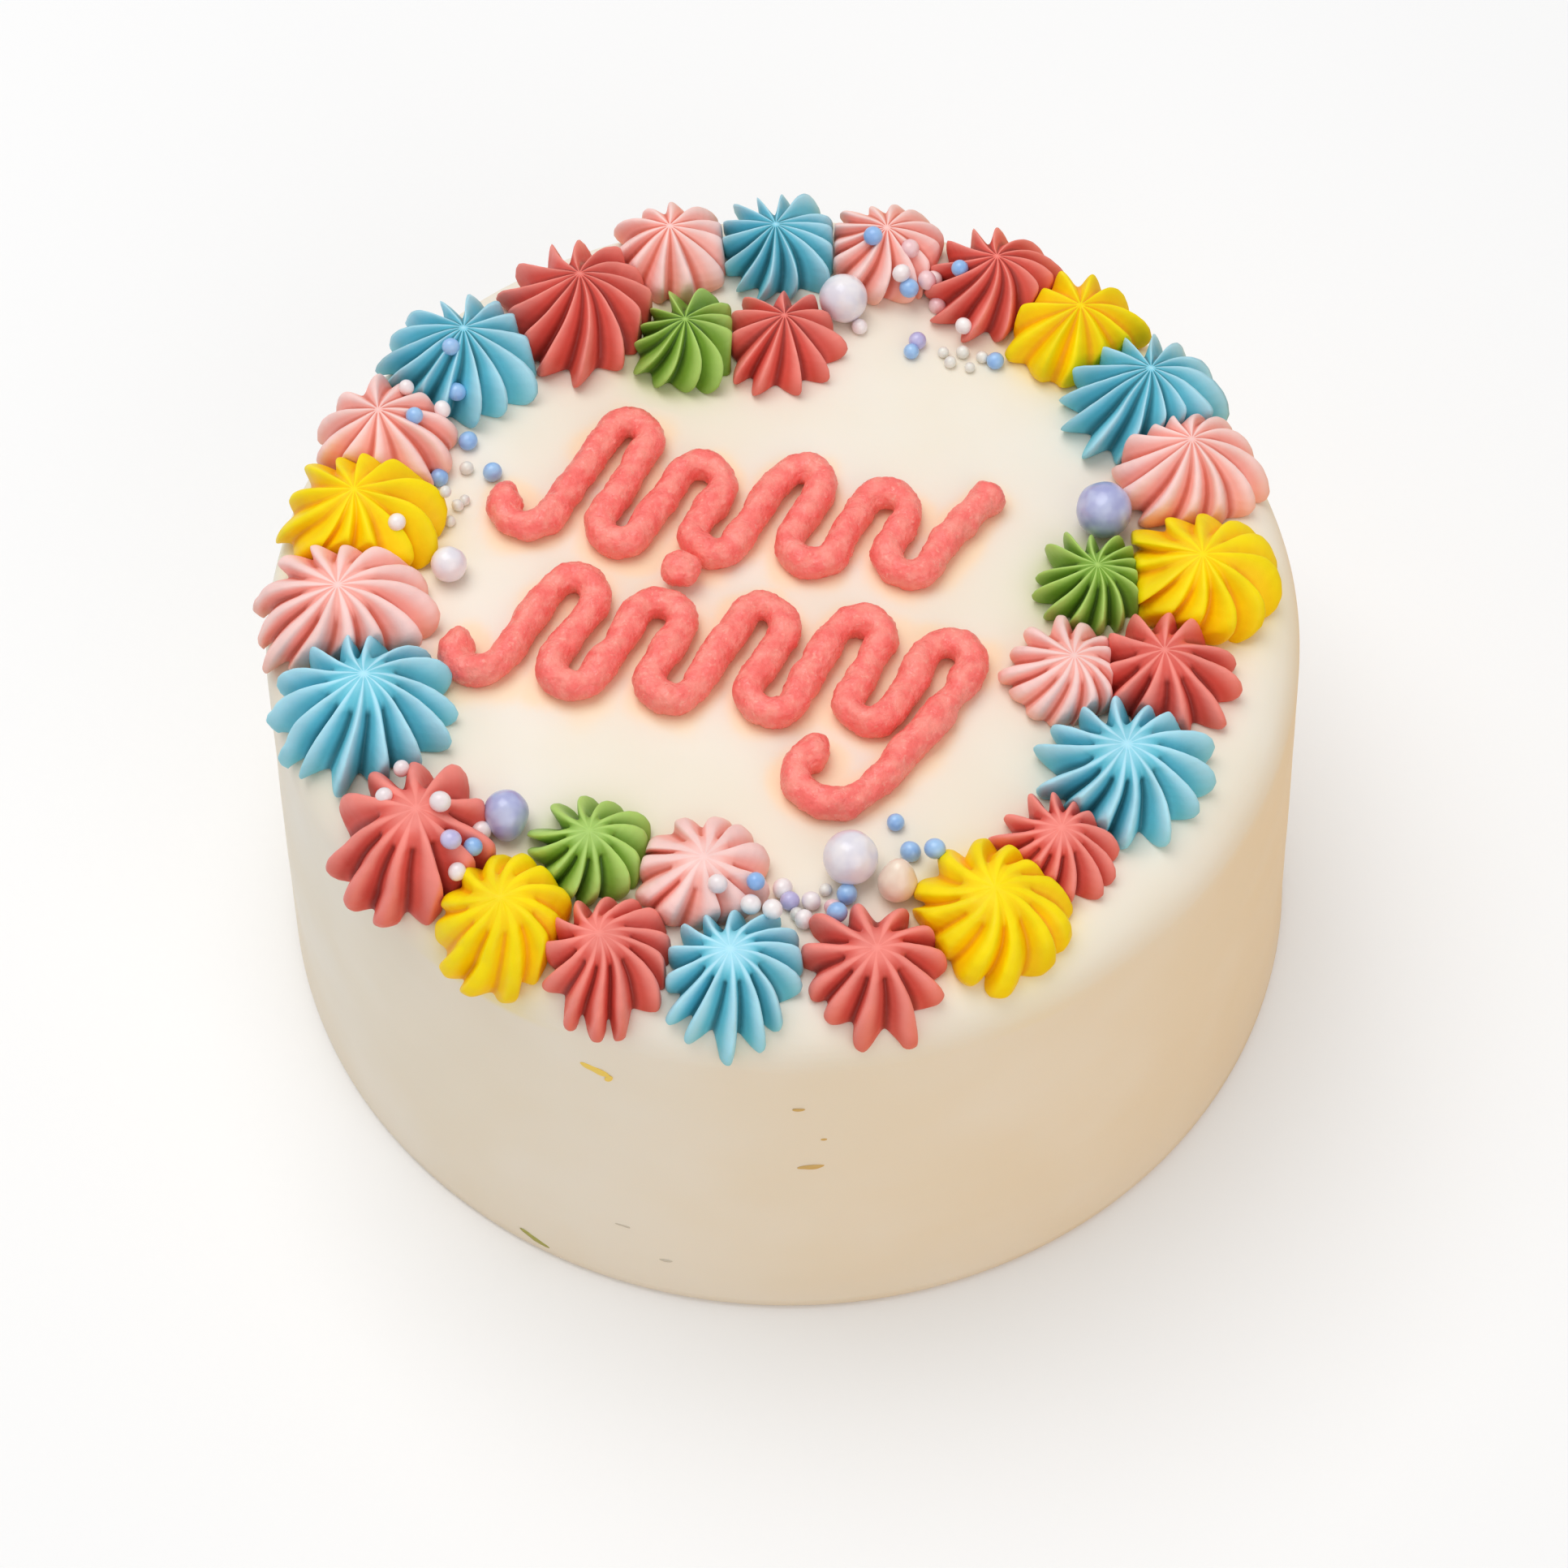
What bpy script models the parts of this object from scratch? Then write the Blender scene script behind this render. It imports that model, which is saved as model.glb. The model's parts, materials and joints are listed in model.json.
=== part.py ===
"""A round birthday cake: an iced body with a ring of piped rosettes, sugar pearls and a piped flourish.

Metres, +Z up. The origin is the middle of the base. The front of the cake faces -Y.
"""

from math import atan2, cos, exp, hypot, pi, radians, sin, sqrt

import bmesh
import bpy
from mathutils import Vector

MM = 0.001

# The iced body: a 150 mm sponge under about 7 mm of icing, leaning a little to its left.
BASE_RADIUS = 82.0 * MM
TOP_RADIUS = 77.5 * MM
HEIGHT = 75.0 * MM
SHOULDER = 8.0 * MM
FOOT_CHAMFER = 0.6 * MM
TOP_SHIFT = -1.0 * MM
BODY_SEGMENTS = 64
SHOULDER_STEPS = 4

# Every piece on the cake keeps this gap to the icing and to its neighbours.
GAP = 0.3 * MM

# Piped rosettes: the outline of one rosette, as shares of its height and of its radius.
ROSETTE_RINGS = ((0.0, 0.86), (0.20, 1.0), (0.60, 0.73), (0.88, 0.31))
ROSETTE_HEIGHT = 0.46
VALLEY_DEPTH = 0.30
UNDERSIDE_SHARE = 0.5
DROOP = 0.6

# Flourish: the tube of piped icing, and how its strokes lie.
PIPE_RADIUS = 2.1 * MM
STROKE_SPACING = 6.8 * MM
STROKE_LEAN = radians(28.0)
ROW_SLOPE = radians(-8.0)
ARC_STEPS = 5
DOT_RADIUS = 3.0 * MM
DOT_PLACE = (-16.0 * MM, 1.5 * MM)
UPPER_FOOT = (-36.0 * MM, 12.0 * MM)
UPPER_STROKES = 9
LOWER_FOOT = (-42.0 * MM, -14.5 * MM)
LOWER_STROKES = 10

# Curls of the flourish: the radius they start with and tighten to, how far they turn, and in how many steps.
START_CURL = (3.8 * MM, 2.8 * MM, radians(-225.0), 8)
RISING_END = (60.0 * MM, 40.0 * MM, radians(-20.0), 5)
TAIL_TURN = radians(-17.0)
TAIL = (90.0 * MM, 90.0 * MM, TAIL_TURN, 4)
HOOK = (6.5 * MM, 2.8 * MM, radians(-250.0), 10)

COLOURS = {
    "cream": (0.87, 0.83, 0.72),
    "pink": (0.88, 0.42, 0.38),
    "rose": (0.63, 0.11, 0.10),
    "blue": (0.11, 0.46, 0.62),
    "yellow": (0.94, 0.66, 0.01),
    "green": (0.20, 0.42, 0.05),
    "coral": (0.85, 0.16, 0.14),
    "pearl_white": (0.80, 0.78, 0.77),
    "pearl_lavender": (0.38, 0.36, 0.66),
    "pearl_peach": (0.84, 0.68, 0.50),
}

# Rosettes: colour, X and Y of the middle, and diameter, in millimetres.
# The first 23 make the ring around the edge, from the back and clockwise seen from above.
ROSETTES = (
    ("pink", -18.0, 64.5, 18.5),
    ("blue", -1.5, 65.5, 20.0),
    ("pink", 15.0, 65.0, 19.0),
    ("rose", 32.0, 58.0, 21.0),
    ("yellow", 44.5, 48.0, 20.5),
    ("blue", 54.0, 33.5, 23.5),
    ("pink", 60.0, 20.5, 21.5),
    ("yellow", 60.5, 0.0, 22.5),
    ("rose", 54.5, -17.0, 20.5),
    ("blue", 47.5, -34.0, 23.5),
    ("rose", 37.5, -47.0, 17.0),
    ("yellow", 28.5, -57.0, 21.0),
    ("rose", 11.5, -66.0, 19.5),
    ("blue", -8.0, -67.0, 19.5),
    ("rose", -25.0, -64.5, 18.5),
    ("yellow", -39.5, -58.0, 19.0),
    ("rose", -53.0, -45.5, 23.0),
    ("blue", -61.5, -23.5, 25.0),
    ("pink", -65.5, -5.5, 24.0),
    ("yellow", -64.5, 11.0, 22.5),
    ("pink", -61.0, 27.5, 20.5),
    ("blue", -51.0, 41.5, 23.5),
    ("rose", -33.0, 51.5, 24.5),
    ("green", -16.5, 46.0, 18.0),
    ("rose", -1.5, 46.0, 18.0),
    ("green", 45.5, -0.5, 17.0),
    ("pink", 40.5, -17.0, 17.5),
    ("green", -28.0, -47.5, 16.5),
    ("pink", -12.5, -51.0, 18.0),
)

# Large sugar pearls: colour, X and Y of the middle, and diameter, in millimetres.
PEARLS = (
    ("pearl_white", 8.5, 53.5, 7.6),
    ("pearl_lavender", 47.0, 11.5, 8.4),
    ("pearl_lavender", -40.0, -41.5, 6.4),
    ("pearl_white", -50.5, 2.5, 5.4),
    ("pearl_white", 8.5, -49.5, 7.8),
    ("pearl_peach", 15.0, -53.0, 5.6),
)


def clear_scene():
    """Remove what the scene holds."""
    for old in list(bpy.data.objects):
        bpy.data.objects.remove(old, do_unlink=True)


def material(colour):
    """The Principled material of one kind of icing or pearl, made once."""
    found = bpy.data.materials.get(colour)
    if found:
        return found
    made = bpy.data.materials.new(colour)
    made.use_nodes = True
    shader = made.node_tree.nodes["Principled BSDF"]
    shader.inputs["Base Color"].default_value = (*COLOURS[colour], 1.0)
    shader.inputs["Roughness"].default_value = 0.25 if colour.startswith("pearl") else 0.5
    shader.inputs["Metallic"].default_value = 0.0
    return made


def add_object(name, mesh, colour):
    """Put a mesh into the scene under its node's name."""
    mesh.shade_smooth()
    mesh.set_sharp_from_angle(angle=radians(40.0))
    mesh.materials.append(material(colour))
    piece = bpy.data.objects.new(name, mesh)
    bpy.context.scene.collection.objects.link(piece)
    return piece


def loft(name, rings, colour, bottom=None, top=None):
    """A closed solid through rings of points, each ring running anticlockwise and above the last.

    An end closes on its pole when one is given, and with a flat face when not.
    """
    mesh = bpy.data.meshes.new(name)
    build = bmesh.new()
    rows = [[build.verts.new(point) for point in ring] for ring in rings]
    count = len(rows[0])
    for lower, upper in zip(rows, rows[1:]):
        for i in range(count):
            j = (i + 1) % count
            build.faces.new((lower[i], lower[j], upper[j], upper[i]))
    if bottom is None:
        build.faces.new(list(reversed(rows[0])))
    else:
        pole = build.verts.new(bottom)
        for i in range(count):
            build.faces.new((rows[0][(i + 1) % count], rows[0][i], pole))
    if top is None:
        build.faces.new(rows[-1])
    else:
        pole = build.verts.new(top)
        for i in range(count):
            build.faces.new((rows[-1][i], rows[-1][(i + 1) % count], pole))
    build.to_mesh(mesh)
    build.free()
    return add_object(name, mesh, colour)


def body_profile():
    """Radius and height up the side of the body, from the foot to the edge of the flat top."""
    profile = [(BASE_RADIUS - FOOT_CHAMFER, 0.0), (BASE_RADIUS, FOOT_CHAMFER)]
    for step in range(SHOULDER_STEPS + 1):
        turn = 0.5 * pi * step / SHOULDER_STEPS
        radius = TOP_RADIUS - SHOULDER + SHOULDER * cos(turn)
        profile.append((radius, HEIGHT - SHOULDER + SHOULDER * sin(turn)))
    return profile


def make_body():
    """The iced cake, uncut: a turned solid whose top sits a little to the left of its base."""
    rings = []
    for radius, height in body_profile():
        middle = TOP_SHIFT * height / HEIGHT
        turns = [2.0 * pi * i / BODY_SEGMENTS for i in range(BODY_SEGMENTS)]
        rings.append([(middle + radius * cos(t), radius * sin(t), height) for t in turns])
    return loft("cake_body", rings, "cream")


def shoulder_drop(x, y):
    """How far the icing has fallen away below the flat top, over a point near the edge."""
    past_flat = hypot(x - TOP_SHIFT, y) - (TOP_RADIUS - SHOULDER)
    past_flat = min(max(past_flat, 0.0), SHOULDER)
    return SHOULDER - sqrt(SHOULDER**2 - past_flat**2)


def walls_around(index):
    """The upright planes that keep one rosette off its neighbours, as directions and distances."""
    _, x, y, size = ROSETTES[index]
    radius = 0.5 * size
    walls = []
    for other, (_, other_x, other_y, other_size) in enumerate(ROSETTES):
        apart = hypot(other_x - x, other_y - y)
        other_radius = 0.5 * other_size
        if other == index or apart > radius + other_radius + 2.0:
            continue
        share = (apart**2 + radius**2 - other_radius**2) / (2.0 * apart)
        direction = atan2(other_y - y, other_x - x)
        walls.append((direction, share * MM - 0.5 * GAP))
    for _, other_x, other_y, other_size in PEARLS:
        apart = hypot(other_x - x, other_y - y)
        if apart < radius + 0.5 * other_size + 2.0:
            direction = atan2(other_y - y, other_x - x)
            walls.append((direction, (apart - 0.5 * other_size) * MM - GAP))
    return walls


def behind_walls(turn, reach, walls):
    """The reach of a point at an angle, drawn in to where it clears every wall."""
    for direction, distance in walls:
        towards = cos(turn - direction)
        if towards * reach > distance:
            reach = distance / towards
    return reach


def rosette_form(index):
    """Ribs, first angle and twist of one rosette, so that no two beside each other look alike."""
    ribs = 10 + (index * 2) % 3
    first = radians(index * 37.0)
    twist = radians(10.0 + 5.0 * (index % 4))
    return ribs, first, twist


def make_rosette(index):
    """One piped rosette: sharp ribs that swell over the base and run up to a small peak."""
    colour, x_mm, y_mm, size = ROSETTES[index]
    x = x_mm * MM
    y = y_mm * MM
    radius = 0.5 * size * MM
    height = ROSETTE_HEIGHT * size * MM
    ribs, first, twist = rosette_form(index)
    walls = walls_around(index)

    def point(turn, reach, share):
        px = x + reach * cos(turn)
        py = y + reach * sin(turn)
        fall = DROOP * shoulder_drop(px, py) * (1.0 - share)
        return (px, py, HEIGHT + GAP + share * height - fall)

    rings = []
    for share, spread in ROSETTE_RINGS:
        ring = []
        for i in range(2 * ribs):
            turn = first + pi * i / ribs + twist * share
            reach = radius * spread * (1.0 - VALLEY_DEPTH * (i % 2))
            ring.append(point(turn, behind_walls(turn, reach, walls), share))
        rings.append(ring)
    if shoulder_drop(x * (1.0 + radius / hypot(x, y)), y * (1.0 + radius / hypot(x, y))) > 0.0:
        base = rings[0]
        inner = [(x + UNDERSIDE_SHARE * (px - x), y + UNDERSIDE_SHARE * (py - y)) for px, py, _ in base]
        rings.insert(0, [(px, py, HEIGHT + GAP - DROOP * shoulder_drop(px, py)) for px, py in inner])
    bottom = (x, y, HEIGHT + GAP - DROOP * shoulder_drop(x, y))
    return loft(f"rosette_{index + 1:02d}", rings, colour, bottom, (x, y, HEIGHT + GAP + height))


def make_pearl(index):
    """One sugar pearl, resting on the top."""
    colour, x, y, size = PEARLS[index]
    name = f"pearl_{index + 1:02d}"
    radius = 0.5 * size * MM
    mesh = bpy.data.meshes.new(name)
    build = bmesh.new()
    bmesh.ops.create_icosphere(build, subdivisions=2, radius=radius)
    bmesh.ops.translate(build, verts=build.verts, vec=(x * MM, y * MM, HEIGHT + GAP + radius))
    build.to_mesh(mesh)
    build.free()
    return add_object(name, mesh, colour)


def curl(start, heading, radius, tight, turn, steps):
    """Points of a spiral curl that leaves a point along a heading and tightens as it turns."""
    points = []
    x, y = start
    for step in range(steps):
        share = (step + 0.5) / steps
        bend = turn / steps
        heading += bend
        length = (radius + (tight - radius) * share) * abs(bend)
        x += length * cos(heading - 0.5 * bend)
        y += length * sin(heading - 0.5 * bend)
        points.append((x, y))
    return points


def wave(foot, strokes, stroke_length):
    """Leaning strokes joined by round turns, from the foot of the first, along a sloping row.

    stroke_length gives each stroke's length from its place along the row, 0 to 1.
    """
    along = Vector((sin(STROKE_LEAN), cos(STROKE_LEAN)))
    across = Vector((cos(STROKE_LEAN), -sin(STROKE_LEAN)))
    rise = STROKE_SPACING * sin(STROKE_LEAN + ROW_SLOPE) / cos(STROKE_LEAN + ROW_SLOPE)
    radius = 0.5 * STROKE_SPACING
    origin = Vector(foot)
    points = [origin.copy()]
    for stroke in range(strokes - 1):
        upward = stroke % 2 == 0
        middle = origin + across * STROKE_SPACING * (stroke + 0.5)
        level = rise * (stroke + 0.5)
        if upward:
            level += stroke_length((stroke + 0.5) / (strokes - 1))
        middle = middle + along * level
        side = 1.0 if upward else -1.0
        for step in range(ARC_STEPS + 1):
            turn = pi * step / ARC_STEPS
            points.append(middle - across * radius * cos(turn) + along * side * radius * sin(turn))
    return [tuple(point) for point in points]


def upper_row():
    """The upper row: a curl at the left foot, a tall first stroke and a rising last one."""
    def stroke_length(share):
        return (10.0 + 8.5 * exp(-share * 6.0) + 1.8 * sin(13.0 * share)) * MM

    swing = wave(UPPER_FOOT, UPPER_STROKES, stroke_length)
    start = curl(swing[0], -0.5 * pi - STROKE_LEAN, *START_CURL)
    end = curl(swing[-1], 0.5 * pi - STROKE_LEAN, *RISING_END)
    return list(reversed(start)) + swing + end


def lower_row():
    """The lower row: a curl at the left foot, a swell in the middle and a long tail that curls under."""
    def stroke_length(share):
        swell = exp(-((share - 0.62) / 0.14) ** 2)
        return (9.5 + 6.0 * exp(-share * 6.0) + 4.5 * swell) * MM

    swing = wave(LOWER_FOOT, LOWER_STROKES, stroke_length)
    start = curl(swing[0], -0.5 * pi - STROKE_LEAN, *START_CURL)
    tail = curl(swing[-1], -0.5 * pi - STROKE_LEAN, *TAIL)
    hook = curl(tail[-1], -0.5 * pi - STROKE_LEAN + TAIL_TURN, *HOOK)
    return list(reversed(start)) + swing + tail + hook


def make_flourish(name, route):
    """One row of the flourish: a tube of icing along its route on the top."""
    data = bpy.data.curves.new(name, "CURVE")
    data.dimensions = "3D"
    data.bevel_depth = PIPE_RADIUS
    data.bevel_resolution = 2
    data.use_fill_caps = True
    spline = data.splines.new("POLY")
    spline.points.add(len(route) - 1)
    for point, (x, y) in zip(spline.points, route):
        point.co = (x, y, HEIGHT + GAP + PIPE_RADIUS, 1.0)
    data.materials.append(material("coral"))
    piece = bpy.data.objects.new(name, data)
    bpy.context.scene.collection.objects.link(piece)
    return piece


def make_dot():
    """The round dot of icing between the two rows."""
    mesh = bpy.data.meshes.new("flourish_dot")
    build = bmesh.new()
    bmesh.ops.create_icosphere(build, subdivisions=2, radius=DOT_RADIUS)
    bmesh.ops.translate(build, verts=build.verts, vec=(*DOT_PLACE, HEIGHT + GAP + DOT_RADIUS))
    build.to_mesh(mesh)
    build.free()
    return add_object("flourish_dot", mesh, "coral")


def main():
    """Build the whole cake."""
    clear_scene()
    make_body()
    for index in range(len(ROSETTES)):
        make_rosette(index)
    for index in range(len(PEARLS)):
        make_pearl(index)
    make_flourish("flourish_upper", upper_row())
    make_flourish("flourish_lower", lower_row())
    make_dot()


main()
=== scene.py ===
"""The looks of a round birthday cake: smooth cream icing, piped rosettes, sugar pearls and a coral flourish.

Metres, +Z up. The front of the cake faces -Y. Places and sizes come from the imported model.
"""

import json
from math import atan2, cos, exp, hypot, pi, radians, sin, sqrt, tau

import bpy
import numpy as np
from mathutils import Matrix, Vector, noise
from mathutils.kdtree import KDTree


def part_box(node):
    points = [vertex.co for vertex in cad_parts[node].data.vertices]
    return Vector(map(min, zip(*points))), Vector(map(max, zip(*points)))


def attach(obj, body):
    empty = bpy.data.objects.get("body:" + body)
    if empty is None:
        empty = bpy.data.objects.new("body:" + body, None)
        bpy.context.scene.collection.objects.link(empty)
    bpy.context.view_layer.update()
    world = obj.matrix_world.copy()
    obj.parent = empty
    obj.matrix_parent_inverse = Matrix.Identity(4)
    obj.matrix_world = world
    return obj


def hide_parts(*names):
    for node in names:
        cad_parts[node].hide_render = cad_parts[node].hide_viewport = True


MM = 0.001

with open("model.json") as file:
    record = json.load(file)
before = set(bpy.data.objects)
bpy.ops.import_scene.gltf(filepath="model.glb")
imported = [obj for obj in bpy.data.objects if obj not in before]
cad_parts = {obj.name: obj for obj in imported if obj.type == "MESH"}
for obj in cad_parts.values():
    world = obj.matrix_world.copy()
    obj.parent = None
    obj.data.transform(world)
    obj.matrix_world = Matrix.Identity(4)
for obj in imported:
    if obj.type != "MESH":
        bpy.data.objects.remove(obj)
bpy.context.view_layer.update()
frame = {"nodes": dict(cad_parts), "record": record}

# Vector noise takes its offsets from this seed. Without it they come from the clock, and each run differs.
noise.seed_set(1)

# The iced body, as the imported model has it.
BODY_LOW, BODY_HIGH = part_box("cake_body")
TOP = BODY_HIGH[2]
BASE_RADIUS = 0.5 * (BODY_HIGH[0] - BODY_LOW[0])
TOP_RADIUS = 77.5 * MM
SHOULDER = 8.0 * MM
TOP_SHIFT = -1.0 * MM

# Rosettes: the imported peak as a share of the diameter, the gap under it, the points and rings of the mesh,
# how closely the foot follows the rounded edge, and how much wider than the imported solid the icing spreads.
PEAK_SHARE = 0.46
PEAK_GAP = 0.3 * MM
POINTS_PER_RIB = 20
BLANK_RINGS = 40
DROOP = 0.85
SPREAD = 1.12

# Flourish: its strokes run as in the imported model.
PIPE_RADIUS = 2.1 * MM
STROKE_SPACING = 6.8 * MM
STROKE_LEAN = radians(28.0)
ROW_SLOPE = radians(-8.0)
ARC_STEPS = 10
ROUTE_STEP = 0.8 * MM
UPPER_FOOT = (-36.0 * MM, 12.0 * MM)
UPPER_STROKES = 9
LOWER_FOOT = (-42.0 * MM, -14.5 * MM)
LOWER_STROKES = 10

# Curls of the flourish: the radius they start with and tighten to, how far they turn, and in how many steps.
START_CURL = (3.8 * MM, 2.8 * MM, radians(-225.0), 20)
RISING_END = (60.0 * MM, 40.0 * MM, radians(-20.0), 10)
TAIL_TURN = radians(-17.0)
TAIL = (90.0 * MM, 90.0 * MM, TAIL_TURN, 10)
HOOK = (6.5 * MM, 2.8 * MM, radians(-250.0), 24)

# The iced body's mesh: places around, rings up the wall, around the shoulder and across the top.
BODY_SEGMENTS = 288
WALL_RINGS = 40
SHOULDER_RINGS = 12
TOP_RINGS = 72
FOOT_ROUND = 0.9 * MM


def linear(red, green, blue):
    """A screen colour, 0 to 255, as the linear colour that a shader takes."""
    shares = [value / 255.0 for value in (red, green, blue)]
    return tuple(s / 12.92 if s <= 0.04045 else ((s + 0.055) / 1.055) ** 2.4 for s in shares)


# Icing colours: the crest of a rib with a painted highlight, its flank, the valley beside it with painted
# shade, and the foot where it spreads.
ICING = {
    "pink_icing": (linear(255, 212, 206), linear(255, 182, 170), linear(208, 88, 60), linear(250, 160, 118)),
    "rose_icing": (linear(248, 142, 130), linear(226, 96, 84), linear(134, 22, 10), linear(208, 72, 46)),
    "blue_icing": (linear(178, 233, 251), linear(108, 202, 222), linear(18, 98, 114), linear(102, 196, 208)),
    "yellow_icing": (linear(255, 226, 0), linear(255, 212, 0), linear(242, 164, 0), linear(254, 200, 0)),
    "green_icing": (linear(176, 212, 108), linear(130, 172, 60), linear(42, 80, 6), linear(112, 156, 40)),
}
# How deep the valleys are, how broad the ribs (low is a thin crest), and how far they blur at the crest.
CHARACTER = {
    "pink_icing": (0.26, 1.25, 0.20),
    "rose_icing": (0.38, 0.85, 0.10),
    "blue_icing": (0.42, 0.74, 0.09),
    "yellow_icing": (0.24, 1.15, 0.16),
    "green_icing": (0.42, 0.85, 0.11),
}
CREAM = linear(243, 236, 222)
CORAL = linear(255, 144, 130)

# Pearls that are drops rather than round, and which way each tip points.
TEARDROPS = {"pearl_03": (0.08, -0.94, -0.33), "pearl_06": (0.10, 0.42, 0.90)}

# Tiny sugar pearls that lie loose on the cake: X and Y in millimetres, by colour.
SPRINKLE_RADIUS = 1.4 * MM
SPRINKLES = {
    "blue": (
        (14, 62), (27, 56), (19, 56), (19, 45), (32, 43), (-51, 39), (-50, 34), (-57, 26), (-49, 27),
        (-53, 20), (-45, 21), (-44, -48), (-5, -54), (6, -59), (8, -54), (15, -42), (17, -47), (21, -49),
    ),
    "white": (
        (23, 57), (18, 56), (28, 48), (11, 50), (-59, 33), (-53, 29), (-58, 8), (-54, -36), (-56, -42),
        (-49, -44), (-44, -45), (-46, -52), (-10, -55), (-6, -57), (-3, -59), (-1, -53), (3, -55), (2, -58),
    ),
    "pink": ((18, 61), (24, 54), (22, 56), (6, -56)),
    "lilac": ((20, 47), (-47, -49), (0, -55)),
    "clear": (
        (27, 45), (30, 44), (25, 43), (24, 45), (28, 42), (-52, 14), (-50, 15), (-51, 12), (-49, 16),
        (-49, 22), (1, -57), (-3, -56), (5, -53),
    ),
}
SPRINKLE_LOOKS = {
    "blue": ("pearl_lavender", linear(160, 200, 242), linear(134, 178, 234)),
    "white": ("pearl_white", linear(250, 242, 240), linear(238, 224, 226)),
    "pink": ("pearl_peach", linear(246, 208, 208), linear(236, 190, 196)),
    "lilac": ("pearl_lavender", linear(204, 198, 234), linear(184, 178, 222)),
    "clear": ("pearl_white", linear(236, 232, 222), linear(222, 218, 212)),
}
# Smears and crumbs on the wall: degrees around, height, half length and half width in millimetres, and tilt.
WALL_FLECKS = {
    "yellow": ((-110.5, 60.5, 2.3, 0.8, 10.0), (-109.0, 59.3, 1.0, 0.5, -60.0)),
    "green": ((-118.6, 3.2, 3.0, 0.7, 22.0),),
    "crumb": ((-87.8, 42.0, 2.0, 0.5, -8.0), (-86.5, 49.5, 0.5, 0.4, 0.0), (-89.1, 57.9, 1.0, 0.3, 4.0)),
    "grey": ((-108.0, 18.6, 1.3, 0.3, 0.0), (-103.3, 11.1, 1.1, 0.3, -6.0)),
}
FLECK_LOOKS = {
    "yellow": ("yellow_icing", linear(248, 214, 96)),
    "green": ("green_icing", linear(168, 166, 84)),
    "crumb": ("yellow_icing", linear(214, 176, 104)),
    "grey": ("cream_icing", linear(206, 196, 178)),
}


# ---------------------------------------------------------------- scene helpers

def only(piece):
    """Select one object and make it the active one."""
    bpy.ops.object.select_all(action="DESELECT")
    piece.select_set(True)
    bpy.context.view_layer.objects.active = piece
    return piece


def added(name):
    """Name the object that an operator has just added."""
    piece = bpy.context.active_object
    piece.name = name
    piece.data.name = name
    return piece


def vertices_of(piece):
    """The places of a mesh's vertices, one row each."""
    places = np.empty(len(piece.data.vertices) * 3)
    piece.data.vertices.foreach_get("co", places)
    return places.reshape(-1, 3)


def place_vertices(piece, places):
    """Move a mesh's vertices."""
    piece.data.vertices.foreach_set("co", places.astype(np.float32).ravel())
    piece.data.update()


def keep_values(piece, name, values):
    """Store one value for each vertex."""
    layer = piece.data.attributes.new(name, "FLOAT", "POINT")
    layer.data.foreach_set("value", np.asarray(values, dtype=np.float32))


def keep_colours(piece, name, colours):
    """Store one colour with a share for each vertex."""
    layer = piece.data.attributes.new(name, "FLOAT_COLOR", "POINT")
    layer.data.foreach_set("color", np.asarray(colours, dtype=np.float32).ravel())


def smooth(piece):
    """Shade a piece smooth."""
    only(piece)
    bpy.ops.object.shade_smooth()


def finish_piece(piece, material, slot, *nodes):
    """Give a piece its material and its place in the frame."""
    piece.data.materials.clear()
    piece.data.materials.append(material)
    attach(piece, "root")
    if nodes:
        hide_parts(*nodes)
    return piece


def icing_height(x, y):
    """The height of the cream under a place on the top, past the edge as well."""
    past_flat = np.hypot(x - TOP_SHIFT, y) - (TOP_RADIUS - SHOULDER)
    past_flat = np.clip(past_flat, 0.0, SHOULDER * 0.97)
    return TOP - (SHOULDER - np.sqrt(SHOULDER**2 - past_flat**2))


# ---------------------------------------------------------------- materials

def node_group(name, inputs, outputs):
    """A new shader node group with its sockets."""
    group = bpy.data.node_groups.new(name, "ShaderNodeTree")
    for label, kind, value in inputs:
        socket = group.interface.new_socket(label, in_out="INPUT", socket_type=kind)
        socket.default_value = value
    for label, kind in outputs:
        group.interface.new_socket(label, in_out="OUTPUT", socket_type=kind)
    start = group.nodes.new("NodeGroupInput")
    end = group.nodes.new("NodeGroupOutput")
    return group, start.outputs, end.inputs


def wire(tree, source, target):
    """Link two sockets."""
    tree.links.new(source, target)


def object_noise(tree, scale, detail=2.0, stretch=None):
    """Noise over a piece, in features for each metre."""
    coordinates = tree.nodes.new("ShaderNodeTexCoord")
    pattern = tree.nodes.new("ShaderNodeTexNoise")
    pattern.inputs["Scale"].default_value = scale
    pattern.inputs["Detail"].default_value = detail
    source = coordinates.outputs["Object"]
    if stretch:
        mapping = tree.nodes.new("ShaderNodeMapping")
        mapping.inputs["Scale"].default_value = stretch
        wire(tree, source, mapping.inputs["Vector"])
        source = mapping.outputs["Vector"]
    wire(tree, source, pattern.inputs["Vector"])
    return pattern.outputs["Fac"]


def ramp(tree, source, low, high, out_low=0.0, out_high=1.0):
    """A value spread smoothly from one range to another."""
    node = tree.nodes.new("ShaderNodeMapRange")
    node.interpolation_type = "SMOOTHSTEP"
    node.inputs["From Min"].default_value = low
    node.inputs["From Max"].default_value = high
    node.inputs["To Min"].default_value = out_low
    node.inputs["To Max"].default_value = out_high
    wire(tree, source, node.inputs["Value"])
    return node.outputs["Result"]


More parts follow.
